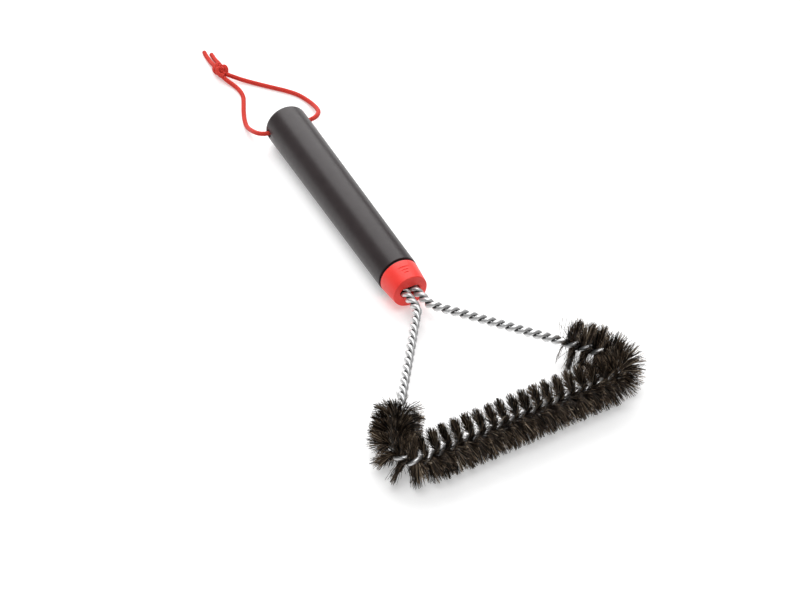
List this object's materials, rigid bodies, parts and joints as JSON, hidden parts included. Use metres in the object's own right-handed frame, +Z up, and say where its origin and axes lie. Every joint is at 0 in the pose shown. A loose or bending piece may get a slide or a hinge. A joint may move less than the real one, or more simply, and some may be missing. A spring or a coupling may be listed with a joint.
{
  "type": "grill cleaning brush",
  "caption": "Hand-held cleaning brush: round plastic handle and collar, triangular head of twisted wire with radiating steel bristles, and a knotted cord loop to hang it by.",
  "frame": {"origin": "on the surface the brush lies on, under the middle of its outline without the cord", "axes": "+Y square to the front of the head, towards the handle, which leans 3.4 degrees from it; +Z up; +X to the right seen from above with the butt away"},
  "size_m": [0.1854, 0.4271, 0.0295],
  "materials": {
    "grip_plastic": "satin",
    "core_plastic": "matte",
    "collar_plastic": "satin",
    "ferrule_steel": "satin",
    "wire_steel": "satin",
    "bristle_steel": "satin",
    "braided_cord": "matte"
  },
  "bodies": {
    "handle": {"handle_grip": "grip_plastic", "anchor_core": "core_plastic", "front_collar": "collar_plastic", "wire_ferrule": "ferrule_steel", "core_wire_a": "wire_steel", "core_wire_b": "wire_steel", "bristles_left_arm": "bristle_steel", "bristles_left_corner": "bristle_steel", "bristles_front": "bristle_steel", "bristles_right_corner": "bristle_steel", "bristles_right_arm": "bristle_steel"},
    "hanging_loop": {"cord_left": "braided_cord", "cord_right": "braided_cord", "cord_knot": "braided_cord", "cord_tail_long": "braided_cord", "cord_tail_short": "braided_cord"}
  },
  "joints": [
    {"name": "hanging_loop_swing", "type": "hinge", "parent": "handle", "child": "hanging_loop", "pos_m": [0.01038, 0.15456, 0.0144], "axis": [0.9982, -0.0593, 0], "range_deg": [0, 160]}
  ]
}
